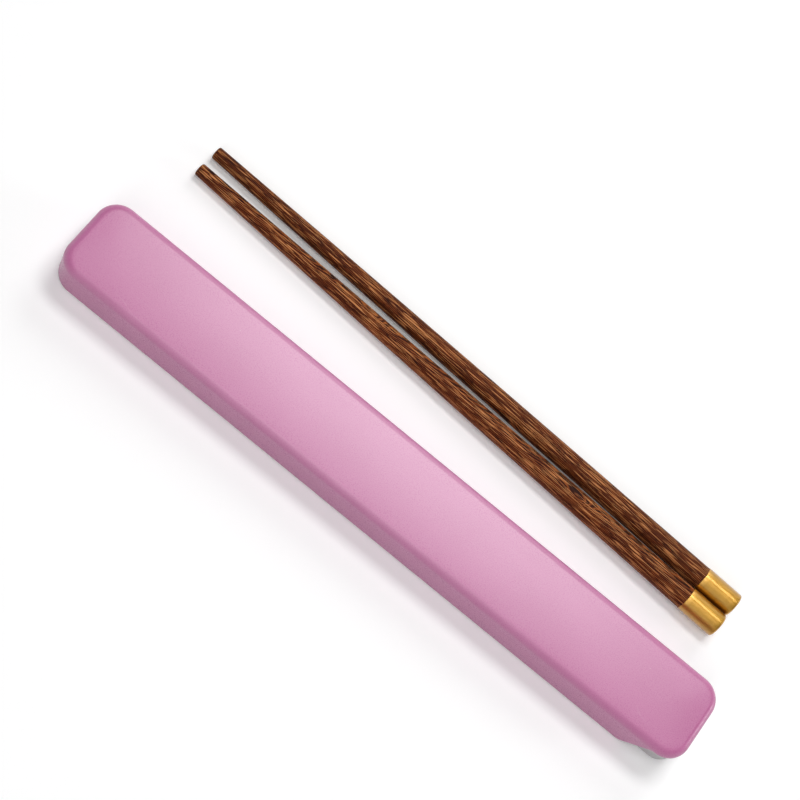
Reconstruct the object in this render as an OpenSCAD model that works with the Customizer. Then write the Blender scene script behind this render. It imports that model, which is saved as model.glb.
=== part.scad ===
// Portable chopstick case: a shell cover that slides lengthwise off a long tray,
// with the pair of capped wooden chopsticks that it carries laid out beside it.
// +X runs along the case towards its open end, +Z is up, and the origin lies
// on the table under the middle of the case.

/* [Cover] */
// Length of the cover along its bottom edge
cover_l = 250; // [244:1:275]
// Width of the cover along its bottom edge
cover_w = 30.3; // [28:0.1:36]
// Height of the closed case
case_h = 16; // [15:0.1:20]
// Plan radius of the cover's corners
cover_corner_r = 8; // [6:0.1:9]
// Rounding along the cover's top edge
cover_top_r = 2.75; // [2.2:0.05:3.5]
// Inward lean of the cover's walls from the table to the top
cover_draft = 0.35; // [0.1:0.05:0.6]
// Thickness of the cover's walls
cover_wall = 1.6; // [1.4:0.05:2]
// Thickness of the cover's top
cover_top_t = 1.8; // [1.4:0.05:2.3]
// Height of the cover's bottom edge above the table
cover_lift = 0.4; // [0.2:0.05:0.8]

/* [Finger cut] */
// Length of the cut along the bottom edge, from the open end
cut_run = 17.5; // [14:0.5:24]
// Slope of the cut's edge from the table, in degrees
cut_angle = 56; // [50:1:70]
// Depth of the brow that is left over the open end
brow_depth = 3; // [2.8:0.1:3.6]
// Rounding of the skirt's lower corner beside the cut
cut_toe_r = 2.5; // [1:0.1:4]
// Rounding where the cut runs into the brow
cut_head_r = 4; // [2:0.1:6]

/* [Tray] */
// Thickness of the tray's side walls
tray_wall = 1.8; // [1.5:0.05:2.1]
// Thickness of the tray's end walls
tray_end_wall = 2; // [1.6:0.1:3]
// Thickness of the tray's floor
tray_floor = 1.6; // [1.2:0.1:2.2]
// Rounding along the tray's bottom edge
tray_foot_r = 1.2; // [0.6:0.1:1.6]
// Rounding between the tray's floor and walls, inside
tray_cove_r = 2; // [1:0.1:2.6]
// Rounding along the outside of the tray's rim
tray_rim_r = 0.7; // [0.3:0.05:1]
// Running gap between the tray and the cover
slide_gap = 0.4; // [0.3:0.05:0.6]
// Clear height between the tray's rim and the brow that passes over it
rim_gap = 1.2; // [0.8:0.1:2]

/* [Rails] */
// Height of the rails inside the cover
rail_h = 1.2; // [0.8:0.1:2]
// Height of the rails' lower edge above the table
rail_z = 3.5; // [2.5:0.1:6]
// How far each rail reaches into the tray's side
rail_bite = 0.5; // [0.3:0.05:0.6]
// Running gap round each rail in its groove
rail_gap = 0.3; // [0.25:0.05:0.4]
// Length left clear of the rail at each end of the straight wall
rail_setback = 3; // [1:0.5:10]

/* [Chopsticks] */
// Overall length of a chopstick
stick_l = 225; // [200:1:235]
// Diameter of the metal end cap
cap_d = 8.6; // [8:0.1:9.2]
// Length of the metal end cap
cap_l = 14; // [10:0.5:24]
// Wall thickness of the metal end cap
cap_wall = 0.6; // [0.4:0.05:0.8]
// Rounding of the end cap's outer edge
cap_edge_r = 0.7; // [0.4:0.05:1]
// Depth of the step from the end cap down to the wood
cap_step = 0.2; // [0.1:0.02:0.3]
// Gap between the end cap and the wood that it is pressed over
cap_fit = 0.02; // [0.01:0.01:0.05]
// Diameter of the wood at the tip
tip_d = 4.5; // [3.6:0.1:5.6]
// Rounding of the tip's edge
tip_edge_r = 0.6; // [0.3:0.05:1]
// Fullness of the wood at mid length over a straight taper, on the radius
shaft_belly = 0.22; // [0.1:0.01:0.4]

/* [Layout of the pair] */
// Distance along X from the middle of the case to the nearer chopstick's capped end
pair_x = 113; // [100:0.1:125]
// Distance along Y from the middle of the case to the nearer chopstick's capped end
pair_y = 35.3; // [26:0.1:60]
// Turn of the nearer chopstick away from the case's length, in degrees
pair_turn = 2.45; // [0:0.05:8]
// Clear gap between the two end caps
pair_cap_gap = 0.32; // [0.3:0.01:4]
// Clear gap between the two tips
pair_tip_gap = 3.8; // [2.5:0.1:12]
// How far the further chopstick's capped end lies past the nearer one's
pair_stagger = 0.15; // [0:0.05:6]

/* [Hidden] */
$fn = 96;

// Overlap of a cutting solid past the face that it cuts
over = 1;

cover_half_l = cover_l / 2;
cover_half_w = cover_w / 2;
cover_lean = atan(cover_draft / case_h);
cover_ceiling = case_h - cover_top_t;
cover_inner_corner_r = cover_corner_r - cover_wall;
cover_inner_top_r = max(cover_top_r - cover_wall, 0.4);
brow_z = case_h - brow_depth;

// The tray's rim stays clear below the brow, and its sides clear the walls where they lean in
tray_rim_z = brow_z - rim_gap;
tray_lean_in = cover_draft * brow_z / case_h;
tray_half_w = cover_half_w - cover_wall - tray_lean_in - slide_gap;
tray_x0 = -(cover_half_l - cover_wall - tray_lean_in - slide_gap);
tray_x1 = cover_half_l - tray_lean_in;
tray_corner_r = cover_inner_corner_r - slide_gap;
tray_inner_corner_r = max(tray_corner_r - tray_wall, 1);
tray_inner_cove_r = min(tray_cove_r, 0.9 * tray_inner_corner_r);

rail_reach = tray_half_w - rail_bite;
rail_x0 = -(cover_half_l - cover_corner_r - rail_setback);
rail_x1 = cover_half_l - cut_run - rail_setback;

cap_r = cap_d / 2;
tip_r = tip_d / 2;
shaft_r = cap_r - cap_step;
tenon_r = cap_r - cap_wall - cap_fit;
tenon_l = cap_l - cap_wall - cap_fit;
shaft_l = stick_l - cap_l;
// A shaft's outline is drawn through this many stations
shaft_stations = 24;

// A chopstick lies on its cap's inner edge and on the fullest part of its wood:
// the share of the wood's length at which it touches the table, and its tilt there
touch_share = sqrt(cap_step / (4 * shaft_belly));
touch_drop = cap_step + (shaft_r - tip_r) * touch_share - 4 * shaft_belly * touch_share * (1 - touch_share);
stick_tilt = atan(touch_drop / (touch_share * shaft_l));

// The further chopstick keeps the two clear gaps, so its own turn follows from them
cap_spacing = cap_d + pair_cap_gap;
tip_spacing = tip_d + pair_tip_gap;
far_turn = pair_turn + asin((tip_spacing - cap_spacing) / stick_l);
near_end = [pair_x, pair_y];
far_end = near_end + pair_stagger * [cos(pair_turn), -sin(pair_turn)]
    + cap_spacing * [sin(pair_turn), cos(pair_turn)];

function hundredth(size) = round(100 * size) / 100;

function shaft_radius(share) =
    shaft_r + (tip_r - shaft_r) * share + 4 * shaft_belly * share * (1 - share);

module quarter_disc(r) {
    intersection() {
        circle(r);
        square(r);
    }
}

// Half section of a walled body, from the axis of its corner rounding outwards.
// The wall leans in from its reach at the table, with a rounded edge at each end.
module wall_section(reach, low, high, low_r, high_r, lean) {
    low_reach = reach - low * tan(lean);
    high_centre = reach - (high - high_r + high_r * sin(lean)) * tan(lean) - high_r * cos(lean);
    polygon([
        [0, low],
        [low_reach - low_r, low],
        [low_reach, low + low_r],
        [high_centre + high_r * cos(lean), high - high_r + high_r * sin(lean)],
        [high_centre, high],
        [0, high]
    ]);
    if (low_r > 0)
        translate([low_reach - low_r, low + low_r]) mirror([0, 1]) quarter_disc(low_r);
    if (high_r > 0)
        translate([high_centre, high - high_r]) quarter_disc(high_r);
}

// Carries a half section round a rectangle with rounded corners, and fills the middle.
// The corner axes are kept to a hundredth, so that the pieces meet face to face.
module rounded_body(x0, x1, half_w, corner_r, low, high) {
    axis_x = [hundredth(x0 + corner_r), hundredth(x1 - corner_r)];
    axis_y = hundredth(half_w - corner_r);
    translate([axis_x[0], 0, 0]) rotate([90, 0, 90]) linear_extrude(axis_x[1] - axis_x[0]) {
        polygon([[-axis_y, low], [axis_y, low], [axis_y, high], [-axis_y, high]]);
        for (side = [0, 1])
            mirror([side, 0]) translate([axis_y, 0]) children();
    }
    for (end = [0, 1])
        translate([axis_x[end], 0, 0]) mirror([1 - end, 0, 0]) {
            translate([0, axis_y, 0]) rotate([90, 0, 0]) linear_extrude(2 * axis_y) children();
            for (side = [0, 1])
                mirror([0, side, 0]) translate([0, axis_y, 0]) rotate_extrude(angle = 90) children();
        }
}

module cover_outside() {
    rounded_body(-cover_half_l, cover_half_l, cover_half_w, cover_corner_r, cover_lift, case_h)
        wall_section(cover_corner_r, cover_lift, case_h, 0, cover_top_r, cover_lean);
}

module cover_inside() {
    rounded_body(-cover_half_l + cover_wall, cover_half_l - cover_wall, cover_half_w - cover_wall,
        cover_inner_corner_r, -over, cover_ceiling)
        wall_section(cover_inner_corner_r, -over, cover_ceiling, 0, cover_inner_top_r, cover_lean);
}

// Side view of what the finger cut takes away: everything right of a slope and under the brow
module finger_cut_outline() {
    foot_x = cover_half_l - cut_run;
    slope = [cos(cut_angle), sin(cut_angle)];
    head_x = foot_x + (brow_z - cover_lift) / tan(cut_angle);
    toe_reach = cut_toe_r * tan(cut_angle / 2);
    head_reach = cut_head_r * tan(cut_angle / 2);
    far_x = cover_half_l + over;
    foot = [foot_x, cover_lift];
    head = [head_x, brow_z];
    difference() {
        polygon([[foot_x, -over], foot, head, [far_x, brow_z], [far_x, -over]]);
        difference() {
            polygon([head - head_reach * slope, head, head + [head_reach, 0]]);
            translate(head + [head_reach, -cut_head_r]) circle(cut_head_r);
        }
    }
    difference() {
        polygon([foot - [toe_reach, 0], foot - [toe_reach, over], foot - [0, over], foot + toe_reach * slope]);
        translate(foot + [-toe_reach, cut_toe_r]) circle(cut_toe_r);
    }
}

module rails() {
    for (side = [0, 1])
        mirror([0, side, 0]) translate([rail_x0, rail_reach, rail_z])
            cube([rail_x1 - rail_x0, cover_half_w - cover_wall / 2 - rail_reach, rail_h]);
}

module slide_cover() {
    color("plum") {
        difference() {
            cover_outside();
            cover_inside();
            translate([0, cover_half_w + over, 0]) rotate([90, 0, 0])
                linear_extrude(cover_w + 2 * over) finger_cut_outline();
        }
        rails();
    }
}

module tray_grooves() {
    groove_x1 = rail_x1 + rail_gap;
    for (side = [0, 1])
        mirror([0, side, 0]) translate([tray_x0 - over, rail_reach - rail_gap, rail_z - rail_gap])
            cube([groove_x1 - tray_x0 + over, cover_half_w, rail_h + 2 * rail_gap]);
}

module base_tray() {
    color("silver") difference() {
        rounded_body(tray_x0, tray_x1, tray_half_w, tray_corner_r, 0, tray_rim_z)
            wall_section(tray_corner_r, 0, tray_rim_z, tray_foot_r, tray_rim_r, 0);
        rounded_body(tray_x0 + tray_end_wall, tray_x1 - tray_end_wall, tray_half_w - tray_wall,
            tray_inner_corner_r, tray_floor, tray_rim_z + over)
            wall_section(tray_inner_corner_r, tray_floor, tray_rim_z + over, tray_inner_cove_r, 0, 0);
        tray_grooves();
    }
}

// Stands a chopstick, modelled along +Z from its capped end, on the table:
// its capped end points along +X from the given spot before it is turned
module laid_out(end, turn) {
    translate([end[0], end[1], 0]) rotate([0, 0, -turn])
        translate([-cap_l, 0, 0]) rotate([0, -stick_tilt, 0]) translate([cap_l, 0, cap_r])
            rotate([0, -90, 0]) children();
}

module shaft() {
    color("saddlebrown") rotate_extrude() {
        polygon(concat(
            [[0, cap_l - tenon_l], [tenon_r, cap_l - tenon_l], [tenon_r, cap_l]],
            [for (i = [0:shaft_stations])
                let (share = i / shaft_stations * (1 - tip_edge_r / shaft_l))
                [shaft_radius(share), cap_l + share * shaft_l]],
            [[tip_r - tip_edge_r, stick_l], [0, stick_l]]
        ));
        translate([tip_r - tip_edge_r, stick_l - tip_edge_r]) quarter_disc(tip_edge_r);
    }
}

module end_cap() {
    color("goldenrod") rotate_extrude() difference() {
        union() {
            translate([0, cap_edge_r]) square([cap_r, cap_l - cap_edge_r]);
            square([cap_r - cap_edge_r, cap_l]);
            translate([cap_r - cap_edge_r, cap_edge_r]) mirror([0, 1]) quarter_disc(cap_edge_r);
        }
        translate([0, cap_wall]) square([cap_r - cap_wall, cap_l]);
    }
}

module near_shaft() { laid_out(near_end, pair_turn) shaft(); }
module near_end_cap() { laid_out(near_end, pair_turn) end_cap(); }
module far_shaft() { laid_out(far_end, far_turn) shaft(); }
module far_end_cap() { laid_out(far_end, far_turn) end_cap(); }

base_tray();
slide_cover();
near_shaft();
near_end_cap();
far_shaft();
far_end_cap();
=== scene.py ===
"""Looks of a portable chopstick case and of the capped wooden pair laid out beside it.

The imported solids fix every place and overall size. Each visible piece is a surface worked
out on a grid of rings, which stands for one solid and wears a procedural finish.
"""

import logging
import math
from dataclasses import dataclass, field
from enum import Enum

import bmesh
import bpy
import numpy as np
from mathutils import Matrix, Vector


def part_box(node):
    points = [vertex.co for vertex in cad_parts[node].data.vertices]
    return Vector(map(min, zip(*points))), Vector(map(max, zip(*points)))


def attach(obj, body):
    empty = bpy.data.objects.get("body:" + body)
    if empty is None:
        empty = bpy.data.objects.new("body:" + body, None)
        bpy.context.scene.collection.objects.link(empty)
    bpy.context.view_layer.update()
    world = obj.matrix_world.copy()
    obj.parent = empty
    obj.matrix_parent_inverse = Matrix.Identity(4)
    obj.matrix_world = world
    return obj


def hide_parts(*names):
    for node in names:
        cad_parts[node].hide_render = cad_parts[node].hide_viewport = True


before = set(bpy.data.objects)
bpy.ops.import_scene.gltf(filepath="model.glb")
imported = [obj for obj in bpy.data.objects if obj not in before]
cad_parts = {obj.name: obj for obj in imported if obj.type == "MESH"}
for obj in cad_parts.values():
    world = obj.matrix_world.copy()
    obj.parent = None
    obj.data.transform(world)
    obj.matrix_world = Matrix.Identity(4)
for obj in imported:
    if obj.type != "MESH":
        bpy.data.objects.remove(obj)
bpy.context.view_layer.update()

log = logging.getLogger("chopstick_case")

MM = 0.001
QUARTER = 0.5 * math.pi
# Points closer than this are one point
WELD = 1e-7
# Half the run over which a rail or a groove ends, seen from the side
RAIL_END = 0.15 * MM
# Even stations along each straight side of the case
SIDE_STATIONS = 72
# Points this near to the furthest one belong to a solid's flat end
FLAT_END = 0.03 * MM
# New range of a mask that goes from full to none
FADE = (1.0, 0.0)

Array = np.ndarray
Colour = tuple[float, float, float, float]
Point = tuple[float, float, float]
Span = tuple[float, float]
Shares = tuple[float, ...]
Object = bpy.types.Object
Material = bpy.types.Material
Node = bpy.types.Node
NodeGroup = bpy.types.ShaderNodeTree
Socket = bpy.types.NodeSocket
Wire = float | tuple[float, ...] | Socket
Inputs = dict[str | int, Wire]


class Body(Enum):
    """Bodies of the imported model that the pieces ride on."""

    TRAY = "tray"
    COVER = "cover"
    NEAR = "near_chopstick"
    FAR = "far_chopstick"


class Slot(Enum):
    """Material slots of the record."""

    COVER = "cover_plastic"
    TRAY = "tray_plastic"
    WOOD = "dark_wood"
    GOLD = "gold_metal"


def ring_faces(rows: int, columns: int) -> Array:
    """Quads between stacked closed rings.

    Face (r, c) joins ring r to ring r + 1 between columns c and c + 1, and the last
    column is followed by the first.

    Args:
        rows: Number of rings.
        columns: Number of points on each ring.

    Returns:
        Vertex numbers, four to a face.
    """
    here = np.arange(rows * columns).reshape(rows, columns)
    after = np.roll(here, -1, axis=1)
    return np.stack([here[:-1], here[1:], after[1:], after[:-1]], axis=-1).reshape(-1, 4)


def mesh_piece(name: str, rings: Array, crease: float, grain: Array | None = None) -> Object:
    """Makes a smooth closed object from stacked rings, with the points that meet welded.

    Args:
        name: Name of the piece.
        rings: Points, as rows by columns by three.
        crease: Angle in degrees past which an edge stays sharp.
        grain: Optional vector for each point, kept as the attribute "grain".

    Returns:
        The new object, at the origin.
    """
    rows, columns, _ = rings.shape
    mesh = bpy.data.meshes.new(name)
    mesh.from_pydata(rings.reshape(-1, 3).tolist(), [], ring_faces(rows, columns).tolist())
    if grain is not None:
        layer = mesh.attributes.new("grain", "FLOAT_VECTOR", "POINT")
        layer.data.foreach_set("vector", grain.reshape(-1).astype(np.float32))
    welded = bmesh.new()
    welded.from_mesh(mesh)
    bmesh.ops.remove_doubles(welded, verts=welded.verts, dist=WELD)
    welded.to_mesh(mesh)
    welded.free()
    mesh.shade_smooth()
    mesh.set_sharp_from_angle(angle=math.radians(crease))
    piece = bpy.data.objects.new(name, mesh)
    bpy.context.scene.collection.objects.link(piece)
    return piece


def seat_piece(piece: Object, body: Body, node: str, material: Material) -> Object:
    """Dresses a piece and sets it on its body.

    Args:
        piece: The piece to dress.
        body: Body that it rides on.
        node: Solid that it stands for.
        material: The finish.

    Returns:
        The same piece.
    """
    piece.data.materials.append(material)
    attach(piece, body.value)
    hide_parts(node)
    return piece


def rows_between(start: float, stop: float, steps: int) -> Array:
    """Even values from start to stop as a column, one to a row, both ends included."""
    return np.linspace(start, stop, steps + 1)[:, None]


@dataclass(frozen=True)
class RoundedOutline:
    """A rectangle with rounded corners in plan, between x0 and x1 and both half widths."""

    x0: float
    x1: float
    half_w: float
    corner_r: float

    def place(self, share: Array | float) -> Array | float:
        """X at a share of the straight side, from its left end to its right end."""
        return self.x0 + self.corner_r + share * (self.x1 - self.x0 - 2 * self.corner_r)

    def share(self, x: Array | float) -> Array | float:
        """Share of the straight side at which an X lies, the inverse of place."""
        return (x - self.x0 - self.corner_r) / (self.x1 - self.x0 - 2 * self.corner_r)


class OutlineRings:
    """Rings that follow a rounded outline, anticlockwise from the left of its front side.

    Each station has a point on the rectangle of the corner axes and an outward direction,
    so a ring with an inset is axis + (corner radius - inset) * outward.
    """

    corner_steps = 14
    end_steps = 10

    def __init__(self, outline: RoundedOutline, shares: Array) -> None:
        """Walks the outline once.

        Args:
            outline: The outline to follow.
            shares: Shares of the straight sides that get a station, 0 and 1 among them.
        """
        self.outline = outline
        left, right = outline.place(0.0), outline.place(1.0)
        side = outline.half_w - outline.corner_r
        turn = np.linspace(0.0, QUARTER, self.corner_steps + 1)[:-1]
        across = np.linspace(-side, side, self.end_steps + 1)[:-1]
        along = outline.place(shares)
        bend, end = np.ones(self.corner_steps), np.ones(self.end_steps)
        run = np.ones(len(along) - 1)
        angle = np.concatenate([
            -QUARTER * run, turn - QUARTER, 0.0 * end, turn,
            QUARTER * run, turn + QUARTER, 2 * QUARTER * end, turn + 2 * QUARTER,
        ])
        axis_x = np.concatenate([
            along[:-1], right * bend, right * end, right * bend,
            along[:0:-1], left * bend, left * end, left * bend,
        ])
        axis_y = np.concatenate([
            -side * run, -side * bend, across, side * bend,
            side * run, side * bend, -across, -side * bend,
        ])
        self.axis = np.stack([axis_x, axis_y], axis=-1)
        self.outward = np.stack([np.cos(angle), np.sin(angle)], axis=-1)
        self.on_side = np.isclose(np.abs(self.outward[:, 1]), 1.0)

    def rings(self, inset: Array | float, height: Array | float) -> Array:
        """Rings at insets from the outline and at heights.

        Args:
            inset: Rows by stations, or anything that spreads to that.
            height: The same for Z.

        Returns:
            Points, as rows by stations by three.
        """
        spread = np.zeros((1, len(self.axis)))
        inset, height = np.broadcast_arrays(
            np.asarray(inset) + spread, np.asarray(height) + spread
        )
        plan = self.axis + (self.outline.corner_r - inset)[..., None] * self.outward
        return np.concatenate([plan, height[..., None]], axis=-1)

    def fill(self, edge: Array, shares: Shares, rise: float) -> Array:
        """Rings that close the inside of a ring, out from the spine of the rectangle.

        A point at share t lies t of the way from the spine to the edge, at the edge's
        height plus rise * (1 - t * t), which is a shallow pillow.

        Args:
            edge: The ring to close, stations by three.
            shares: Shares in walking order.
            rise: Height of the spine over the edge.

        Returns:
            Points, as shares by stations by three.
        """
        half = self.outline.half_w
        spine_x = np.clip(edge[:, 0], self.outline.x0 + half, self.outline.x1 - half)
        spine = np.stack([spine_x, np.zeros_like(spine_x), edge[:, 2]], axis=-1)
        share = np.asarray(shares)[:, None, None]
        filled = spine + share * (edge - spine)
        filled[..., 2] += rise * (1.0 - share[..., 0] ** 2)
        return filled


@dataclass(frozen=True)
class RailFit:
    """Rails inside the cover's walls, and the grooves in the tray's sides that they run in."""

    height: float = 1.2 * MM
    low: float = 3.5 * MM
    bite: float = 0.5 * MM
    gap: float = 0.3 * MM
    setback: float = 3.0 * MM
    chamfer: float = 0.25 * MM


@dataclass
class FingerCut:
    """Slanted cut at the cover's open end, from the skirt's foot up to the brow."""

    run: float = 17.5 * MM
    angle: float = math.radians(56.0)
    brow_depth: float = 3.0 * MM
    toe_r: float = 2.5 * MM
    head_r: float = 4.0 * MM

    def rim_height(self, x: Array, end_x: float, low: float, high: float) -> Array:
        """Height of the cover's lower edge over X.

        From the left it is the skirt's lift, a convex arc at the toe, a straight slope, a
        concave arc at the head, and then the brow. Both arcs are tangent to their neighbours.

        Args:
            x: Places along the case.
            end_x: Where the case ends.
            low: Height of the skirt's edge.
            high: Height of the brow.

        Returns:
            A height for each place.
        """
        foot = end_x - self.run
        head = foot + (high - low) / math.tan(self.angle)
        toe_reach = self.toe_r * math.tan(self.angle / 2)
        head_reach = self.head_r * math.tan(self.angle / 2)
        toe_axis, head_axis = foot - toe_reach, head + head_reach
        toe_drop = np.sqrt(np.maximum(self.toe_r**2 - (x - toe_axis) ** 2, 0.0))
        head_rise = np.sqrt(np.maximum(self.head_r**2 - (x - head_axis) ** 2, 0.0))
        slope = low + (x - foot) * math.tan(self.angle)
        return np.select(
            [
                x <= toe_axis,
                x <= foot + toe_reach * math.cos(self.angle),
                x <= head - head_reach * math.cos(self.angle),
                x <= head_axis,
            ],
            [
                np.full_like(x, low),
                low + self.toe_r - toe_drop,
                slope,
                high - self.head_r + head_rise,
            ],
            high,
        )


@dataclass
class SlideCover:
    """The moulded shell that slides lengthwise off the tray.

    The brow shares are the most of the wall over the brow that the rounding of its lower
    edge takes, outside and inside. The upper row is where the inner wall's last row lies
    between the rail and the ceiling's arc.
    """

    node: str = "slide_cover"
    corner_r: float = 8.0 * MM
    top_r: float = 2.75 * MM
    draft: float = 0.35 * MM
    wall: float = 1.6 * MM
    top_t: float = 1.8 * MM
    crown: float = 0.18 * MM
    edge_r: float = 0.35 * MM
    cut: FingerCut = field(default_factory=FingerCut)
    rails: RailFit = field(default_factory=RailFit)
    brow_shares: Span = (0.6, 0.5)
    upper_row: float = 0.6
    crease: float = 30.0
    cut_stations: int = 64
    least_step: float = 1e-5
    top_steps: int = 14
    lip_steps: int = 4
    ceiling_steps: int = 6
    wall_rows: int = 8
    top_shares: Shares = (0.0, 0.12, 0.3, 0.5, 0.7, 0.86, 0.95)
    ceiling_shares: Shares = (0.8, 0.5, 0.25, 0.0)

    def rail_ends(self, outline: RoundedOutline) -> Span:
        """X of a rail's ends, set back from the left corner and from the finger cut."""
        setback = self.rails.setback
        return outline.place(0.0) + setback, outline.x1 - self.cut.run - setback

    def shares(self, outline: RoundedOutline) -> Array:
        """Stations along the straight sides, closer together at the cut and the rails' ends.

        Args:
            outline: The cover's outline.

        Returns:
            Shares of the straight side, rising from 0 to 1.
        """
        first, last = self.rail_ends(outline)
        ends = np.array([first - RAIL_END, first + RAIL_END, last - RAIL_END, last + RAIL_END])
        cut_start = outline.x1 - self.cut.run - 2 * self.cut.toe_r
        cut_zone = np.linspace(cut_start, outline.place(1.0), self.cut_stations)
        even = np.linspace(0.0, 1.0, SIDE_STATIONS)
        shares = np.concatenate([even, outline.share(cut_zone), outline.share(ends)])
        shares = np.unique(shares)
        apart = np.diff(shares, prepend=-1.0) > self.least_step
        return np.clip(shares[apart], 0.0, 1.0)

    def build(self) -> Object:
        """Makes the shell as one closed surface.

        Its section runs from the spine of the crowned top over the top edge's arc, down the
        leaning wall, round the lower edge, up inside past the rail, and along the ceiling.

        Returns:
            The new piece.
        """
        low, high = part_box(self.node)
        tray_half_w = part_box("base_tray")[1].y
        slope = self.draft / high.z
        lean = math.atan(slope)
        half_l = -low.x + low.z * slope
        half_w = high.y + low.z * slope
        outline = RoundedOutline(-half_l, half_l, half_w, self.corner_r)
        walk = OutlineRings(outline, self.shares(outline))
        outer_share, inner_share = self.brow_shares

        x = walk.rings(0.0, 0.0)[0, :, 0]
        rim = self.cut.rim_height(x, half_l, low.z, high.z - self.cut.brow_depth)

        tilt = math.atan(2 * self.crown / half_w)
        turn = rows_between(QUARTER - tilt, lean, self.top_steps)
        arc_z = high.z - self.crown - self.top_r * math.cos(tilt)
        wall_top = arc_z + self.top_r * math.sin(lean)
        arc_inset = wall_top * slope + self.top_r * math.cos(lean)
        top_edge = walk.rings(
            arc_inset - self.top_r * np.cos(turn), arc_z + self.top_r * np.sin(turn)
        )
        top = walk.fill(top_edge[0], self.top_shares, self.crown)

        outer_r = np.minimum(self.edge_r, outer_share * (wall_top - rim))
        down = rows_between(0.0, 1.0, self.wall_rows)[1:]
        wall_z = wall_top + down * (rim + outer_r - wall_top)
        outer_wall = walk.rings(wall_z * slope, wall_z)
        roll = rows_between(0.0, QUARTER, self.lip_steps)
        outer_lip = walk.rings(
            rim * slope + outer_r * (1.0 - np.cos(roll)), rim + outer_r * (1.0 - np.sin(roll))
        )[1:]

        ceiling = high.z - self.top_t
        inner_arc_r = self.top_r - self.wall
        inner_arc_z = ceiling - inner_arc_r
        inner_top = inner_arc_z + inner_arc_r * math.sin(lean)
        inner_r = np.minimum(self.edge_r, inner_share * (inner_top - rim))
        unroll = roll[::-1]
        inner_lip = walk.rings(
            self.wall + rim * slope - inner_r * (1.0 - np.cos(unroll)),
            rim + inner_r * (1.0 - np.sin(unroll)),
        )
        inner_wall = walk.rings(
            *self.inner_section(walk, x, rim + inner_r, inner_top, low.z, tray_half_w)
        )
        turn = rows_between(lean, QUARTER, self.ceiling_steps)
        inner_inset = self.wall + inner_top * slope + inner_arc_r * math.cos(lean)
        inner_edge = walk.rings(
            inner_inset - inner_arc_r * np.cos(turn), inner_arc_z + inner_arc_r * np.sin(turn)
        )
        inside = walk.fill(inner_edge[-1], self.ceiling_shares, 0.0)

        sections = [
            top, top_edge, outer_wall, outer_lip, inner_lip, inner_wall, inner_edge, inside,
        ]
        return mesh_piece("cover_shell", np.concatenate(sections), self.crease)

    def inner_section(
        self, walk: OutlineRings, x: Array, foot: Array, top: float, lift: float, tray_half_w: float
    ) -> tuple[Array, Array]:
        """Insets and heights up the inner wall, which stands in at the rail.

        Rows keep their share of the way from the foot to the top, so that they close up
        under the brow. The rail is two rows at one reach between two rows on the wall.

        Args:
            walk: Rings of the cover's outline.
            x: Place of each station along the case.
            foot: Height at which the inner wall starts.
            top: Height at which it ends.
            lift: Height of the skirt's edge, where nothing is cut away.
            tray_half_w: Half width of the tray that the rails bite into.

        Returns:
            Insets and heights, each as rows by stations.
        """
        outline, rails = walk.outline, self.rails
        slope = self.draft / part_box(self.node)[1].z
        whole_foot = lift + self.edge_r
        rail_top = rails.low + rails.height
        heights = np.array([
            rails.low, rails.low + rails.chamfer, rail_top - rails.chamfer, rail_top,
            (1.0 - self.upper_row) * rail_top + self.upper_row * top,
        ])
        share = ((heights - whole_foot) / (top - whole_foot))[:, None]
        z = foot + share * (top - foot)
        inset = self.wall + z * slope
        first, last = self.rail_ends(outline)
        has_rail = walk.on_side & (x >= first) & (x <= last)
        reach = outline.half_w - (tray_half_w - rails.bite)
        inset[1:3] = np.where(has_rail, reach, inset[1:3])
        return inset, z

    def dress(self, material: Material) -> Object:
        """Builds the shell, dresses it and sets it on its body."""
        return seat_piece(self.build(), Body.COVER, self.node, material)


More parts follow.
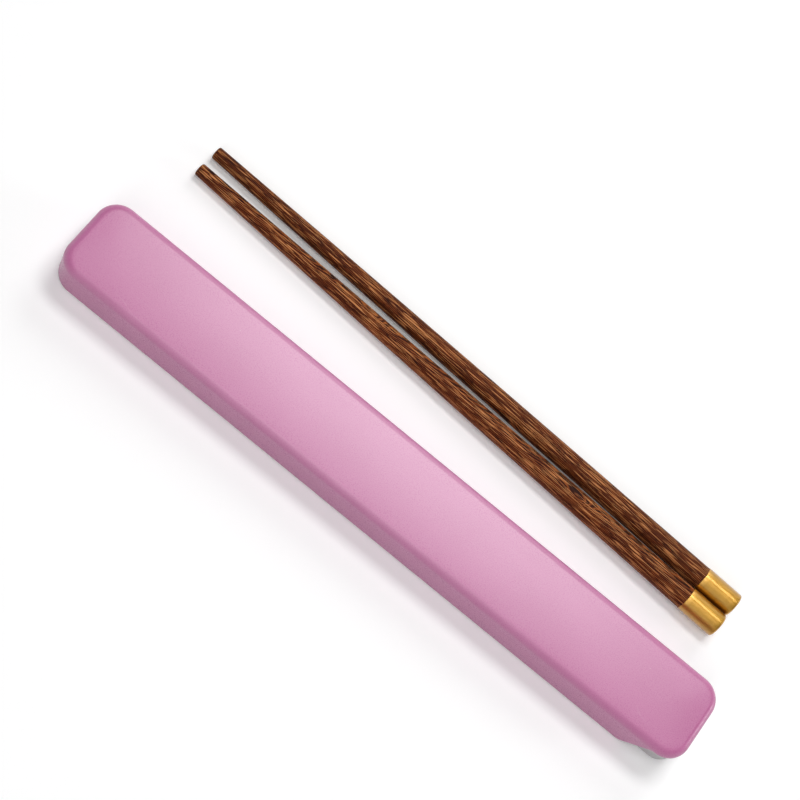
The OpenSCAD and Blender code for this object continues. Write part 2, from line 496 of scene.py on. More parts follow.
@dataclass
class BaseTray:
    """The moulded tray that holds the pair, with a groove along each side for the rails."""

    node: str = "base_tray"
    corner_r: float = 6.0 * MM
    inner_corner_r: float = 4.2 * MM
    wall: float = 1.8 * MM
    end_wall: float = 2.0 * MM
    floor: float = 1.6 * MM
    foot_r: float = 1.2 * MM
    cove_r: float = 2.0 * MM
    rim_r: float = 0.7 * MM
    inner_rim_r: float = 0.25 * MM
    groove_end: float = 104.8 * MM
    rails: RailFit = field(default_factory=RailFit)
    crease: float = 30.0
    cove_steps: int = 8
    rim_steps: int = 5
    wall_rows: int = 5
    floor_shares: Shares = (0.0, 0.25, 0.5, 0.8)
    bottom_shares: Shares = (0.8, 0.4, 0.0)

    def build(self) -> Object:
        """Makes the tray as one closed surface.

        Its section runs from the spine of the floor over the cove, up the inner wall, over
        the rim, down outside past the groove, and under the foot.

        Returns:
            The new piece.
        """
        low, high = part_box(self.node)
        outer = RoundedOutline(low.x, high.x, high.y, self.corner_r)
        inner = RoundedOutline(
            low.x + self.end_wall, high.x - self.end_wall, high.y - self.wall, self.inner_corner_r
        )
        ends = outer.share(np.array([self.groove_end - RAIL_END, self.groove_end + RAIL_END]))
        shares = np.unique(np.concatenate([np.linspace(0.0, 1.0, SIDE_STATIONS), ends]))
        inside, outside = OutlineRings(inner, shares), OutlineRings(outer, shares)

        turn = rows_between(0.0, QUARTER, self.cove_steps)
        cove = inside.rings(
            self.cove_r * (1.0 - np.sin(turn)), self.floor + self.cove_r * (1.0 - np.cos(turn))
        )
        floor = inside.fill(cove[0], self.floor_shares, 0.0)
        wall_foot, wall_top = self.floor + self.cove_r, high.z - self.inner_rim_r
        inner_wall = inside.rings(0.0, rows_between(wall_foot, wall_top, self.wall_rows)[1:])
        roll = rows_between(0.0, QUARTER, self.rim_steps)
        inner_rim = inside.rings(
            -self.inner_rim_r * (1.0 - np.cos(roll)),
            high.z - self.inner_rim_r * (1.0 - np.sin(roll)),
        )[1:]
        outer_rim = outside.rings(
            self.rim_r * (1.0 - np.sin(roll)), high.z - self.rim_r * (1.0 - np.cos(roll))
        )
        outer_wall = self.outer_section(outside, high.z - self.rim_r)
        foot = outside.rings(
            self.foot_r * (1.0 - np.cos(turn)), self.foot_r * (1.0 - np.sin(turn))
        )
        bottom = outside.fill(foot[-1], self.bottom_shares, 0.0)
        sections = [floor, cove, inner_wall, inner_rim, outer_rim, outer_wall, foot, bottom]
        return mesh_piece("tray_shell", np.concatenate(sections), self.crease)

    def outer_section(self, walk: OutlineRings, top: float) -> Array:
        """Rings down the outer wall, which is cut in at the groove.

        The groove is two rows whose Y is held to the groove's bottom, between two rows on
        the wall. It runs out past the left end and stops short of the open end.

        Args:
            walk: Rings of the tray's outline.
            top: Height at which the wall starts.

        Returns:
            Points, as rows by stations by three.
        """
        fit = self.rails
        groove_top, groove_low = fit.low + fit.height + fit.gap, fit.low - fit.gap
        heights = np.array([
            0.5 * (top + groove_top), groove_top, groove_top - fit.chamfer,
            groove_low + fit.chamfer, groove_low, 0.5 * (groove_low + self.foot_r),
        ])
        rings = walk.rings(0.0, heights[:, None])
        reach = walk.outline.half_w - fit.bite - fit.gap
        cut = rings[0, :, 0] <= self.groove_end
        held = np.clip(rings[2:4, :, 1], -reach, reach)
        rings[2:4, :, 1] = np.where(cut, held, rings[2:4, :, 1])
        return rings

    def dress(self, material: Material) -> Object:
        """Builds the tray, dresses it and sets it on its body."""
        return seat_piece(self.build(), Body.TRAY, self.node, material)


def node_points(node: str) -> Array:
    """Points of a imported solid.

    Args:
        node: Name of the solid.

    Returns:
        Points, as an array of three columns.
    """
    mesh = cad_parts[node].data
    flat = np.empty(3 * len(mesh.vertices), dtype=np.float32)
    mesh.vertices.foreach_get("co", flat)
    return flat.reshape(-1, 3).astype(float)


def end_centre(points: Array, direction: Array) -> Array:
    """Middle of the box round the points that lie furthest along a direction.

    Args:
        points: Points, as an array of three columns.
        direction: Unit vector.

    Returns:
        The middle point.
    """
    reach = points @ direction
    face = points[reach > reach.max() - FLAT_END]
    return 0.5 * (face.min(axis=0) + face.max(axis=0))


@dataclass(frozen=True)
class TurnedAxis:
    """Axis of a turned piece: the point at its capped end and three square directions."""

    start: Array
    along: Array
    over: Array
    aside: Array

    @classmethod
    def of_stick(cls, cap_node: str, shaft_node: str, rounds: int = 3) -> "TurnedAxis":
        """Finds the axis from the flat end faces of a cap and of its shaft.

        The middle of the box round a round end face is its centre. The rough direction of
        the axis comes first from the middles of the two solids, and each round betters it.

        Args:
            cap_node: Solid whose outer end is the axis's start.
            shaft_node: Solid whose tip is its end.
            rounds: How often the direction is found again.

        Returns:
            The axis, with aside square to along and over, so that over x along = aside.
        """
        shaft, cap = node_points(shaft_node), node_points(cap_node)
        rough = shaft.mean(axis=0) - cap.mean(axis=0)
        for _ in range(rounds):
            rough = rough / np.linalg.norm(rough)
            tip, start = end_centre(shaft, rough), end_centre(cap, -rough)
            rough = tip - start
        along = rough / np.linalg.norm(rough)
        aside = np.cross(np.array([0.0, 0.0, 1.0]), along)
        aside /= np.linalg.norm(aside)
        over = np.cross(along, aside)
        return cls(start, along, over, np.cross(over, along))

    def spin(self, distance: Array, radius: Array, columns: int) -> tuple[Array, Array]:
        """Turns a profile about the axis.

        A point is start + distance * along + radius * (cos * over + sin * aside).

        Args:
            distance: Distance of each row from the capped end.
            radius: Radius of each row.
            columns: Points on each ring.

        Returns:
            Points, and the same points in the axis's own directions.
        """
        angle = np.linspace(0.0, 2 * np.pi, columns, endpoint=False)
        rise, swing = radius[:, None] * np.cos(angle), radius[:, None] * np.sin(angle)
        run = distance[:, None] + 0.0 * angle
        points = (
            self.start
            + run[..., None] * self.along
            + rise[..., None] * self.over
            + swing[..., None] * self.aside
        )
        return points, np.stack([run, rise, swing], axis=-1)


@dataclass
class Chopstick:
    """A turned wooden shaft with a drawn metal cap pressed over its thick end."""

    body: Body
    shaft_node: str
    cap_node: str
    cap_r: float = 4.3 * MM
    cap_l: float = 14.0 * MM
    cap_wall: float = 0.6 * MM
    cap_edge_r: float = 0.7 * MM
    cap_step: float = 0.2 * MM
    cap_fit: float = 0.02 * MM
    lip_r: float = 0.12 * MM
    tip_r: float = 2.25 * MM
    tip_edge_r: float = 0.6 * MM
    belly: float = 0.22 * MM
    length: float = 225.0 * MM
    crease: float = 40.0
    columns: int = 96
    shaft_rows: int = 90
    cap_rows: int = 7
    edge_steps: int = 8
    lip_steps: int = 4
    end_share: float = 0.6

    def build_shaft(self, axis: TurnedAxis) -> Object:
        """Turns the wood, with the tenon that the cap hides.

        At a share t of the wood's length its radius is a straight taper plus
        4 * belly * t * (1 - t), and a quarter arc rounds the tip's edge.

        Args:
            axis: Axis of the stick.

        Returns:
            The new piece.
        """
        thick = self.cap_r - self.cap_step
        tenon_r = self.cap_r - self.cap_wall - self.cap_fit
        wood_l = self.length - self.cap_l
        share = np.linspace(0.0, 1.0, self.shaft_rows) * (1.0 - self.tip_edge_r / wood_l)
        radius = thick + (self.tip_r - thick) * share + 4 * self.belly * share * (1.0 - share)
        turn = np.linspace(0.0, QUARTER, self.edge_steps + 1)[1:]
        edge = radius[-1] - self.tip_edge_r
        tenon_x = self.cap_wall + self.cap_fit
        distance = np.concatenate([
            [tenon_x, tenon_x, self.cap_l], self.cap_l + share * wood_l,
            self.length - self.tip_edge_r * (1.0 - np.sin(turn)), [self.length],
        ])
        radii = np.concatenate([
            [0.0, tenon_r, tenon_r], radius, edge + self.tip_edge_r * np.cos(turn), [0.0],
        ])
        points, grain = axis.spin(distance, radii, self.columns)
        return mesh_piece(f"{self.body.value}_wood", points, self.crease, grain)

    def build_cap(self, axis: TurnedAxis) -> Object:
        """Turns the cap as a closed cup, from its outer end round its lip to its inner end.

        Quarter arcs round its outer edge and its lip.

        Args:
            axis: Axis of the stick.

        Returns:
            The new piece.
        """
        turn = np.linspace(0.0, QUARTER, self.edge_steps + 1)
        roll = np.linspace(0.0, QUARTER, self.lip_steps + 1)
        bore = self.cap_r - self.cap_wall
        edge = self.cap_r - self.cap_edge_r
        wall = np.linspace(self.cap_edge_r, self.cap_l - self.lip_r, self.cap_rows + 2)[1:-1]
        distance = np.concatenate([
            [0.0, 0.0], self.cap_edge_r * (1.0 - np.cos(turn)), wall,
            self.cap_l - self.lip_r * (1.0 - np.sin(roll)),
            [self.cap_l, self.cap_wall, self.cap_wall],
        ])
        radii = np.concatenate([
            [0.0, self.end_share * edge], edge + self.cap_edge_r * np.sin(turn),
            np.full(self.cap_rows, self.cap_r),
            self.cap_r - self.lip_r * (1.0 - np.cos(roll)), [bore, bore, 0.0],
        ])
        points, grain = axis.spin(distance, radii, self.columns)
        return mesh_piece(f"{self.body.value}_cap", points, self.crease, grain)

    def dress(self, wood: Material, gold: Material) -> list[Object]:
        """Builds both pieces, dresses them and sets them on their body.

        Args:
            wood: Finish of the shaft.
            gold: Finish of the cap.

        Returns:
            The shaft and the cap.
        """
        axis = TurnedAxis.of_stick(self.cap_node, self.shaft_node)
        return [
            seat_piece(self.build_shaft(axis), self.body, self.shaft_node, wood),
            seat_piece(self.build_cap(axis), self.body, self.cap_node, gold),
        ]


class NodeBoard:
    """Adds nodes to one node tree and wires them."""

    def __init__(self, tree: bpy.types.NodeTree) -> None:
        """Takes the tree that the nodes go into."""
        self.tree = tree

    @classmethod
    def bare(cls, owner: Material | bpy.types.World) -> "NodeBoard":
        """Empties a node tree and takes it.

        Args:
            owner: The material or the world that has the tree.

        Returns:
            A board on the empty tree.
        """
        owner.use_nodes = True
        owner.node_tree.nodes.clear()
        return cls(owner.node_tree)

    def add(self, kind: str, inputs: Inputs | None = None, **settings: object) -> Node:
        """Adds a node.

        Args:
            kind: Node type without its "ShaderNode" start.
            inputs: Values or sockets for its inputs, by name or number.
            settings: Values for its own properties.

        Returns:
            The new node.
        """
        node = self.tree.nodes.new(f"ShaderNode{kind}")
        for name, value in settings.items():
            setattr(node, name, value)
        self.feed(node, inputs or {})
        return node

    def feed(self, node: Node, inputs: Inputs) -> None:
        """Sets a node's inputs to values, or links them to sockets.

        Args:
            node: A node of this tree.
            inputs: Values or sockets, by the input's name or number.
        """
        for name, value in inputs.items():
            if isinstance(value, Socket):
                self.tree.links.new(value, node.inputs[name])
            else:
                node.inputs[name].default_value = value

    def math(self, operation: str, a: Wire, b: Wire = 0.0) -> Socket:
        """Result of a Math node on two values."""
        return self.add("Math", {0: a, 1: b}, operation=operation).outputs[0]

    def vector(self, operation: str, a: Wire, b: Wire) -> Socket:
        """Vector result of a Vector Math node on two vectors."""
        return self.add("VectorMath", {0: a, 1: b}, operation=operation).outputs["Vector"]

    def measure(self, operation: str, *vectors: Wire) -> Socket:
        """Value result of a Vector Math node, such as a length or a dot product."""
        inputs = dict(enumerate(vectors))
        return self.add("VectorMath", inputs, operation=operation).outputs["Value"]

    def remap(self, value: Wire, span: Span, to: Span = (0.0, 1.0)) -> Socket:
        """Carries a value smoothly from one range to another, and holds it at both ends.

        Args:
            value: The value.
            span: Start and end of its range.
            to: Start and end of the new range.

        Returns:
            The new value.
        """
        inputs = {
            "Value": value, "From Min": span[0], "From Max": span[1],
            "To Min": to[0], "To Max": to[1],
        }
        return self.add("MapRange", inputs, interpolation_type="SMOOTHSTEP").outputs[0]

    def mix(self, share: Wire, a: Wire, b: Wire) -> Socket:
        """Colour mixed from two colours."""
        return self.add("Mix", {0: share, 6: a, 7: b}, data_type="RGBA").outputs[2]

    def noise(
        self, at: Wire, cells: Wire, seed: Wire, detail: float = 0.0, roughness: float = 0.5
    ) -> Socket:
        """Reads a noise.

        Args:
            at: Where to read it.
            cells: Its cells to a metre, along each axis.
            seed: Number that tells it apart from other noises.
            detail: Number of finer noises on top.
            roughness: How much each finer one counts.

        Returns:
            A value from about 0 to 1.
        """
        inputs = {
            "Vector": self.vector("MULTIPLY", at, cells), "W": seed,
            "Scale": 1.0, "Detail": detail, "Roughness": roughness,
        }
        return self.add("TexNoise", inputs, noise_dimensions="4D").outputs[0]

    def ramp(self, value: Wire, colours: tuple[Colour, ...]) -> Socket:
        """Reads a colour from a smooth ramp of evenly spaced colours.

        Args:
            value: Where to read it, from 0 to 1.
            colours: Colours in order.

        Returns:
            The colour.
        """
        node = self.add("ValToRGB", {0: value})
        node.color_ramp.interpolation = "B_SPLINE"
        places = np.linspace(0.0, 1.0, len(colours))
        for place in places[1:-1]:
            node.color_ramp.elements.new(place)
        for element, place, colour in zip(node.color_ramp.elements, places, colours):
            element.position, element.color = place, colour
        return node.outputs[0]

    def bump(self, height: Wire, strength: float, distance: float) -> Socket:
        """Normal bent by a height, which stands for up to a distance in metres."""
        inputs = {"Height": height, "Strength": strength, "Distance": distance}
        return self.add("Bump", inputs).outputs[0]


class SocketKind(Enum):
    """Kinds of socket on a node group."""

    VALUE = "NodeSocketFloat"
    VECTOR = "NodeSocketVector"
    COLOUR = "NodeSocketColor"


@dataclass(frozen=True)
class SharedEffect:
    """A shader node group that more than one finish uses."""

    name: str
    inputs: dict[str, SocketKind]
    outputs: dict[str, SocketKind]

    def open(self) -> tuple[NodeBoard, Node, Node]:
        """Makes the empty group.

        Returns:
            A board on it, its input node and its output node.
        """
        tree = bpy.data.node_groups.new(self.name, "ShaderNodeTree")
        for in_out, sockets in (("INPUT", self.inputs), ("OUTPUT", self.outputs)):
            for name, kind in sockets.items():
                tree.interface.new_socket(name, in_out=in_out, socket_type=kind.value)
        given, result = tree.nodes.new("NodeGroupInput"), tree.nodes.new("NodeGroupOutput")
        return NodeBoard(tree), given, result


@dataclass(frozen=True)
class MouldedSkin:
    """Skin of a moulding: flow clouds, fine texture, hairline scratches and specks.

    Clouds and texture are noises of two sizes. Scratches are thin contours of a stretched
    noise, kept only where another noise is high. Specks are the middles of a few small
    cells. Cells are to a metre, and a span is where an effect starts and where it is full.
    """

    flow_cells: Point = (30.0, 70.0, 70.0)
    flow_detail: float = 2.0
    grain_detail: float = 2.0
    grain_roughness: float = 0.6
    scratch_turn: Point = (0.0, 0.0, 0.6)
    scratch_cells: Point = (25.0, 260.0, 60.0)
    scratch_width: Span = (0.004, 0.012)
    scratched_cells: Point = (55.0, 55.0, 55.0)
    scratched_detail: float = 1.0
    scratched_span: Span = (0.60, 0.70)
    speck_cells: float = 240.0
    speck_width: Span = (0.02, 0.07)
    speck_span: Span = (0.90, 0.93)

    def build(self) -> NodeGroup:
        """Makes the node group.

        Returns:
            The group, with its masks as outputs.
        """
        value, vector = SocketKind.VALUE, SocketKind.VECTOR
        effect = SharedEffect(
            "moulded_skin",
            {"Position": vector, "Texture": value, "Seed": value},
            {"Flow": value, "Grain": value, "Scratch": value, "Speck": value},
        )
        board, given, result = effect.open()
        place, seed = given.outputs["Position"], given.outputs["Seed"]
        flow = board.noise(place, self.flow_cells, seed, self.flow_detail)
        grain = board.noise(
            place, given.outputs["Texture"], seed, self.grain_detail, self.grain_roughness
        )

        slant = {"Vector": place, "Rotation": self.scratch_turn, "Scale": self.scratch_cells}
        slanted = board.add("Mapping", slant).outputs[0]
        level = board.noise(slanted, (1.0, 1.0, 1.0), seed)
        off_middle = board.math("ABSOLUTE", board.math("SUBTRACT", level, 0.5))
        hairline = board.remap(off_middle, self.scratch_width, FADE)
        where = board.noise(place, self.scratched_cells, seed, self.scratched_detail)
        scratch = board.math("MULTIPLY", hairline, board.remap(where, self.scratched_span))

        dots = board.add("TexVoronoi", {"Vector": place, "Scale": self.speck_cells}, feature="F1")
        rare = board.add("SeparateColor", {0: dots.outputs["Color"]}).outputs[0]
        dot = board.remap(dots.outputs["Distance"], self.speck_width, FADE)
        speck = board.math("MULTIPLY", dot, board.remap(rare, self.speck_span))
        board.feed(result, {"Flow": flow, "Grain": grain, "Scratch": scratch, "Speck": speck})
        return board.tree


@dataclass(frozen=True)
class LayeredWood:
    """Dark wood of thin dark and light layers, cut along the grain.

    The layers are planes a fixed way apart across one direction. Two noises bend them, a
    slow one and a quick small one, and they bulge round each knot by a bell curve of the
    stretched distance from it. The sine of an angle that turns once a layer, frayed by
    fibres, gives the light lines. Fibres, tan hairs and pores are noises long along the
    grain and narrow across it. Detail is that of the bends and the fibres.
    Cells are to a metre, and a span is where an effect starts and where it is full.
    """

    spacing: float = 0.46 * MM
    detail: float = 1.0
    slow_cells: Point = (24.0, 120.0, 120.0)
    slow_bend: float = 2.2 * MM
    quick_cells: Point = (120.0, 900.0, 900.0)
    quick_bend: float = 0.35 * MM
    knot_cells: Point = (160.0, 420.0, 420.0)
    knot_bulge: float = 1.5 * MM
    fibre_cells: Point = (175.0, 3000.0, 3000.0)
    fraying: float = 3.2
    line_span: Span = (1.25, 2.35)
    hair_cells: Point = (130.0, 4300.0, 4300.0)
    hair_seed: float = 3.0
    hair_span: Span = (0.58, 0.66)
    hair_share: float = 0.72
    tone_cells: Point = (45.0, 520.0, 520.0)
    tone_detail: float = 2.0
    tone_span: Span = (0.16, 0.84)
    pore_cells: Point = (500.0, 3200.0, 3200.0)
    pore_span: Span = (0.55, 0.68)
    pore_share: float = 0.6
    dark: tuple[Colour, ...] = (
        (0.012, 0.0022, 0.0010, 1.0), (0.034, 0.0062, 0.0020, 1.0), (0.085, 0.0170, 0.0040, 1.0),
    )
    light: tuple[Colour, ...] = (
        (0.140, 0.0290, 0.0062, 1.0), (0.255, 0.0610, 0.0138, 1.0), (0.470, 0.1600, 0.0460, 1.0),
    )
    tan: Colour = (0.690, 0.2900, 0.1000, 1.0)

    def layer_angle(self, board: NodeBoard, given: Node) -> Socket:
        """Angle that turns once from each layer to the next.

        Args:
            board: Board on the group.
            given: The group's input node.

        Returns:
            The angle, in radians.
        """
        place, seed = given.outputs["Grain"], given.outputs["Seed"]
        flat = board.measure("DOT_PRODUCT", place, given.outputs["Across"])
        slow = board.noise(place, self.slow_cells, seed, self.detail)
        quick = board.noise(place, self.quick_cells, seed, self.detail)
        bend = board.math(
            "ADD",
            board.math("MULTIPLY", slow, self.slow_bend),
            board.math("MULTIPLY", quick, self.quick_bend),
        )
        for knot in ("First Knot", "Second Knot"):
            apart = board.vector("SUBTRACT", place, given.outputs[knot])
            apart = board.vector("MULTIPLY", apart, self.knot_cells)
            square = board.measure("DOT_PRODUCT", apart, apart)
            bell = board.math("EXPONENT", board.math("MULTIPLY", square, -1.0))
            bend = board.math("ADD", bend, board.math("MULTIPLY", bell, self.knot_bulge))
        return board.math("MULTIPLY", board.math("ADD", flat, bend), 2 * math.pi / self.spacing)

    def build(self) -> NodeGroup:
        """Makes the node group.

        Returns:
            The group, with the wood's colour and the masks of its pores and lines as outputs.
        """
        value, vector = SocketKind.VALUE, SocketKind.VECTOR
        effect = SharedEffect(
            "layered_wood",
            {
                "Grain": vector, "Across": vector, "First Knot": vector, "Second Knot": vector,
                "Seed": value, "Lightness": value,
            },
            {"Colour": SocketKind.COLOUR, "Pore": value, "Line": value},
        )
        board, given, result = effect.open()
        place, seed = given.outputs["Grain"], given.outputs["Seed"]

        wave = board.math("SINE", self.layer_angle(board, given))
        fibre = board.noise(place, self.fibre_cells, seed, self.detail)
        frayed = board.math("ADD", wave, board.math("MULTIPLY", fibre, self.fraying))
        line = board.remap(frayed, self.line_span)
        hair = board.noise(place, self.hair_cells, board.math("ADD", seed, self.hair_seed))
        hairs = board.math("MULTIPLY", board.remap(hair, self.hair_span), self.hair_share)
        pores = board.remap(board.noise(place, self.pore_cells, seed), self.pore_span)

        patch = board.noise(place, self.tone_cells, seed, self.tone_detail)
        patch = board.remap(patch, self.tone_span)
        tone = board.math("ADD", patch, given.outputs["Lightness"])
        dark, light = board.ramp(tone, self.dark), board.ramp(tone, self.light)
        closed = board.math("SUBTRACT", 1.0, board.math("MULTIPLY", pores, self.pore_share))
        colour = board.mix(board.math("MULTIPLY", line, closed), dark, light)
        colour = board.mix(hairs, colour, self.tan)
        board.feed(result, {"Colour": colour, "Pore": pores, "Line": line})
        return board.tree


def new_material(name: str) -> tuple[Material, NodeBoard, Node]:
    """Makes a material with only a Principled BSDF on its output.

    Args:
        name: Name of the material.

    Returns:
        The material, a board on its tree, and its shader.
    """
    material = bpy.data.materials.new(name)
    board = NodeBoard.bare(material)
    shader = board.add("BsdfPrincipled")
    board.add("OutputMaterial", {"Surface": shader.outputs[0]})
    return material, board, shader


@dataclass(frozen=True)
class PlasticFinish:
    """A satin moulded plastic.

    Scratches and specks are of the mark colour. Bump is a strength and a depth in metres.
    """

    name: str
    shade: Colour
    light: Colour
    mark: Colour
    roughness: Span
    texture: float
    seed: float
    flow_span: Span = (0.3, 0.7)
    grain_span: Span = (0.25, 0.75)
    scratch_share: float = 0.05
    speck_share: float = 0.22
    scratch_depth: float = 0.5
    bump: Span = (0.12, 0.02 * MM)
    ior: float = 1.6

    def build(self, skin: NodeGroup) -> Material:
        """Makes the material.

        Args:
            skin: The shared skin of a moulding.

        Returns:
            The new material.
        """
        material, board, shader = new_material(self.name)
        place = board.add("TexCoord").outputs["Object"]
        given = {"Position": place, "Texture": self.texture, "Seed": self.seed}
        worn = board.add("Group", given, node_tree=skin).outputs
        colour = board.mix(board.remap(worn["Flow"], self.flow_span), self.shade, self.light)
        scratches = board.math("MULTIPLY", worn["Scratch"], self.scratch_share)
        specks = board.math("MULTIPLY", worn["Speck"], self.speck_share)
        colour = board.mix(board.math("MAXIMUM", scratches, specks), colour, self.mark)
        dents = board.math("MULTIPLY", worn["Scratch"], self.scratch_depth)
        relief = board.math("SUBTRACT", worn["Grain"], dents)
        board.feed(shader, {
            "Base Color": colour,
            "Roughness": board.remap(worn["Grain"], self.grain_span, self.roughness),
            "Normal": board.bump(relief, *self.bump),
            "IOR": self.ior,
        })
        return material


@dataclass(frozen=True)
class WoodFinish:
    """An oiled dark wood, cut from its own part of the plank.

    Roughness goes from the dark layers to the light lines. Bump is a strength and a depth
    in metres.
    """

    name: str
    seed: float
    across: Point
    knots: tuple[Point, Point]
    lightness: float
    roughness: Span = (0.52, 0.64)
    bump: Span = (0.3, 0.04 * MM)
    specular: float = 0.08

    def build(self, wood: NodeGroup) -> Material:
        """Makes the material.

        Args:
            wood: The shared layered wood.

        Returns:
            The new material.
        """
        material, board, shader = new_material(self.name)
        grain = board.add("Attribute", attribute_name="grain").outputs["Vector"]
        first, second = self.knots
        given = {
            "Grain": grain, "Across": self.across, "First Knot": first, "Second Knot": second,
            "Seed": self.seed, "Lightness": self.lightness,
        }
        cut = board.add("Group", given, node_tree=wood).outputs
        relief = board.math("SUBTRACT", cut["Line"], cut["Pore"])
        board.feed(shader, {
            "Base Color": cut["Colour"],
            "Roughness": board.remap(cut["Line"], (0.0, 1.0), self.roughness),
            "Normal": board.bump(relief, *self.bump),
            "Specular IOR Level": self.specular,
        })
        return material


@dataclass(frozen=True)
class GoldFinish:
    """A lacquered satin gold metal with the faint rings that turning leaves.

    Rings are a noise that is fine along the axis and long round it, and clouds are an even
    one. Bump is a strength and a depth in metres.
    """

    name: str = "satin_gold"
    shade: Colour = (0.41, 0.205, 0.013, 1.0)
    light: Colour = (0.48, 0.252, 0.019, 1.0)
    ring_cells: Point = (9000.0, 220.0, 220.0)
    ring_seed: float = 3.0
    cloud_cells: Point = (260.0, 260.0, 260.0)
    cloud_seed: float = 5.0
    ring_share: float = 0.5
    detail: float = 2.0
    tone_span: Span = (0.35, 0.65)
    rough_span: Span = (0.3, 0.7)
    roughness: Span = (0.35, 0.41)
    bump: Span = (0.12, 0.01 * MM)
    coat_roughness: float = 0.27
    coat_ior: float = 1.5

    def build(self) -> Material:
        """Makes the material.

        Returns:
            The new material.
        """
        material, board, shader = new_material(self.name)
        grain = board.add("Attribute", attribute_name="grain").outputs["Vector"]
        rings = board.noise(grain, self.ring_cells, self.ring_seed, self.detail)
        cloud = board.noise(grain, self.cloud_cells, self.cloud_seed, self.detail)
        tone = board.math(
            "ADD",
            board.math("MULTIPLY", rings, self.ring_share),
            board.math("MULTIPLY", cloud, 1.0 - self.ring_share),
        )
        board.feed(shader, {
            "Base Color": board.mix(board.remap(tone, self.tone_span), self.shade, self.light),
            "Roughness": board.remap(tone, self.rough_span, self.roughness),
            "Normal": board.bump(rings, *self.bump),
            "Metallic": 1.0,
            "Coat Weight": 1.0,
            "Coat Roughness": self.coat_roughness,
            "Coat IOR": self.coat_ior,
        })
        return material


@dataclass(frozen=True)
class SoftBox:
    """A studio panel that faces the middle of the case.

    Heading is turned from +X towards +Y and height is up from the floor, both in degrees.
    Glow is its brightness, where a white floor has 1.
    """

    name: str
    heading: float
    height: float
    distance: float
    size: Span
    glow: float

    def build(self) -> None:
        """Hangs the panel and turns it to the middle of the case."""
        light = bpy.data.lights.new(self.name, "AREA")
        light.shape = "RECTANGLE"
        light.size, light.size_y = self.size
        light.energy = self.glow * math.pi * self.size[0] * self.size[1]
        heading, height = math.radians(self.heading), math.radians(self.height)
        level = math.cos(height)
        aim = Vector((level * math.cos(heading), level * math.sin(heading), math.sin(height)))
        place = self.distance * aim
        turned = place.to_track_quat("Z", "Y").to_matrix().to_4x4()
        lamp = bpy.data.objects.new(self.name, light)
        lamp.matrix_world = Matrix.Translation(place) @ turned
        bpy.context.scene.collection.objects.link(lamp)


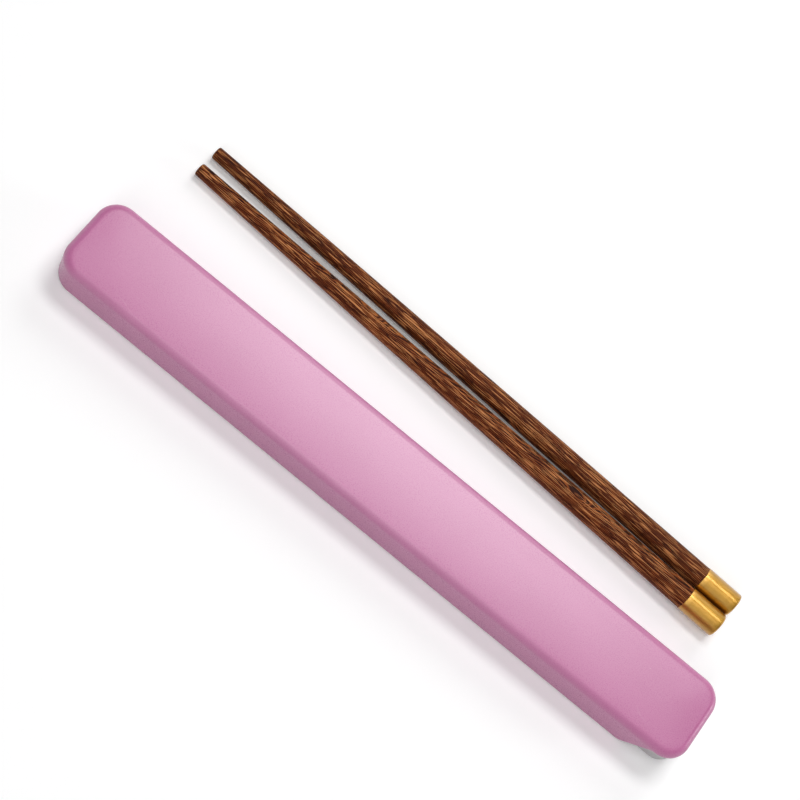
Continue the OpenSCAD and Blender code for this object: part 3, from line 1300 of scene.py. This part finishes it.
@dataclass
class Studio:
    """Pale floor, soft light and a camera at the photograph's angle.

    The floor shows its light and shadows up to the first lit reach from the middle, and
    plain white past the second. Walls and sky change over spans of the sine of the height.
    """

    elevation: float = math.radians(68.35)
    azimuth: float = math.radians(-4.83)
    roll: float = math.radians(43.78)
    distance: float = 0.64864
    target: Point = (-0.013837, 0.027815, 0.0)
    lens: float = 90.0
    sensor: float = 36.0
    clip: Span = (0.01, 50.0)
    floor_half: float = 6.0
    floor_z: float = -0.05 * MM
    floor_colour: Colour = (0.95, 0.95, 0.95, 1.0)
    floor_glow: float = 0.10
    lit_reach: Span = (0.28, 0.75)
    sky_rise: Span = (0.0, 0.7)
    sky_level: Span = (0.05, 0.08)
    wall_top: Span = (0.22, 0.55)
    boxes: tuple[SoftBox, ...] = (
        SoftBox("key_panel", 85.4, 65.0, 1.5, (0.74, 0.36), 10.4),
        SoftBox("back_panel", 88.0, 33.0, 1.5, (0.6, 0.7), 3.8),
        SoftBox("top_panel", -90.0, 86.0, 1.5, (0.6, 0.5), 4.4),
        SoftBox("front_panel", -89.0, 55.0, 1.3, (0.55, 1.4), 2.3),
        SoftBox("front_strip", -94.0, 11.5, 1.5, (0.5, 0.06), 10.0),
        SoftBox("end_panel", 23.5, 18.0, 1.4, (0.32, 0.2), 13.0),
    )

    def build_camera(self) -> None:
        """Places the camera from its angles and its distance to the target."""
        data = bpy.data.cameras.new("photo_camera")
        data.sensor_fit, data.sensor_width, data.lens = "HORIZONTAL", self.sensor, self.lens
        data.clip_start, data.clip_end = self.clip
        sin_e, cos_e = math.sin(self.elevation), math.cos(self.elevation)
        sin_a, cos_a = math.sin(self.azimuth), math.cos(self.azimuth)
        back = Vector((sin_a * cos_e, -cos_a * cos_e, sin_e))
        right = Vector((cos_a, sin_a, 0.0))
        up = back.cross(right)
        image_x = math.cos(self.roll) * right + math.sin(self.roll) * up
        image_y = -math.sin(self.roll) * right + math.cos(self.roll) * up
        turned = Matrix((image_x, image_y, back)).transposed().to_4x4()
        place = Vector(self.target) + self.distance * back
        camera = bpy.data.objects.new("photo_camera", data)
        camera.matrix_world = Matrix.Translation(place) @ turned
        bpy.context.scene.collection.objects.link(camera)
        bpy.context.scene.camera = camera

    @staticmethod
    def seen(board: NodeBoard) -> Socket:
        """Tells a ray that sees from one that only lights.

        Args:
            board: Board on a material or a world.

        Returns:
            1 for a ray from the eye, a mirror or clear glass, and 0 for any other.
        """
        path = board.add("LightPath").outputs
        mirrored = board.math("MAXIMUM", path["Is Glossy Ray"], path["Is Transmission Ray"])
        return board.math("MAXIMUM", path["Is Camera Ray"], mirrored)

    def build_floor(self) -> None:
        """Lays the floor, which keeps its shadows near by and shows white further off."""
        reach = np.array([-self.floor_half, self.floor_half])
        x, y = np.meshgrid(reach, reach, indexing="ij")
        corners = np.stack([x, y, np.full_like(x, self.floor_z)], axis=-1).reshape(-1, 3)
        mesh = bpy.data.meshes.new("floor")
        mesh.from_pydata(corners.tolist(), [], [(0, 2, 3, 1)])
        floor = bpy.data.objects.new("floor", mesh)
        bpy.context.scene.collection.objects.link(floor)
        material = bpy.data.materials.new("pale_floor")
        board = NodeBoard.bare(material)
        away = board.measure("LENGTH", board.add("TexCoord").outputs["Object"])
        level = board.remap(away, self.lit_reach, (self.floor_glow, 1.0))
        shown = board.math("MULTIPLY", self.seen(board), level)
        glow = board.add("Emission", {"Strength": shown})
        matt = board.add("BsdfDiffuse", {"Color": self.floor_colour})
        both = board.add("AddShader", {0: matt.outputs[0], 1: glow.outputs[0]})
        board.add("OutputMaterial", {"Surface": both.outputs[0]})
        mesh.materials.append(material)

    def build_world(self) -> None:
        """Fills the room with dim light, where eye and mirror see white walls under a ceiling."""
        world = bpy.data.worlds.new("studio")
        bpy.context.scene.world = world
        board = NodeBoard.bare(world)
        direction = board.add("TexCoord").outputs["Generated"]
        height = board.add("SeparateXYZ", {0: direction}).outputs["Z"]
        level = board.remap(height, self.sky_rise, self.sky_level)
        walls = board.remap(height, self.wall_top, FADE)
        shown = board.math("MULTIPLY", self.seen(board), walls)
        strength = board.math("MAXIMUM", level, shown)
        sky = board.add("Background", {"Color": (1.0, 1.0, 1.0, 1.0), "Strength": strength})
        board.add("OutputWorld", {"Surface": sky.outputs[0]})

    def build(self) -> None:
        """Sets up the camera, the floor, the room and the lights."""
        self.build_camera()
        self.build_floor()
        self.build_world()
        for box in self.boxes:
            box.build()
        bpy.context.scene.view_settings.view_transform = "Standard"


def main() -> None:
    """Builds the studio and every piece in order, and reports each piece."""
    logging.basicConfig(level=logging.INFO, format="%(message)s")
    Studio().build()
    skin, wood = MouldedSkin().build(), LayeredWood().build()
    pink = PlasticFinish(
        "satin_pink_plastic",
        shade=(0.510, 0.157, 0.328, 1.0), light=(0.530, 0.168, 0.345, 1.0),
        mark=(0.715, 0.534, 0.6225, 1.0), roughness=(0.25, 0.33), texture=4200.0, seed=1.0,
    ).build(skin)
    # The tray's grey is partly its own pale grey and partly painted shade: it is set darker for the
    # shadow under the cover, and its faint pink cast is painted bounce light from the pink cover.
    grey = PlasticFinish(
        "pale_grey_plastic",
        shade=(0.450, 0.420, 0.432, 1.0), light=(0.480, 0.448, 0.460, 1.0),
        mark=(0.690, 0.674, 0.680, 1.0), roughness=(0.34, 0.42), texture=3600.0, seed=4.0,
    ).build(skin)
    near_wood = WoodFinish(
        "near_dark_wood", seed=2.0, across=(0.09, 0.79, -0.62), lightness=-0.20,
        knots=((62 * MM, 3.6 * MM, 0.6 * MM), (152 * MM, 2.8 * MM, -0.8 * MM)),
    ).build(wood)
    # The far copy of the wood is set darker than the near one. This is partly the wood's own tone
    # and partly painted shade for the shadow that the near stick casts on it.
    far_wood = WoodFinish(
        "far_dark_wood", seed=7.0, across=(0.07, -0.35, 0.94), lightness=-0.32,
        knots=((96 * MM, 3.0 * MM, 2.4 * MM), (190 * MM, -2.0 * MM, 1.0 * MM)),
    ).build(wood)
    gold = GoldFinish().build()

    pieces = [SlideCover().dress(pink), BaseTray().dress(grey)]
    pieces += Chopstick(Body.NEAR, "near_shaft", "near_end_cap").dress(near_wood, gold)
    pieces += Chopstick(Body.FAR, "far_shaft", "far_end_cap").dress(far_wood, gold)
    for piece in pieces:
        log.info("%s: %d faces", piece.name, len(piece.data.polygons))


if __name__ == "__main__":
    main()
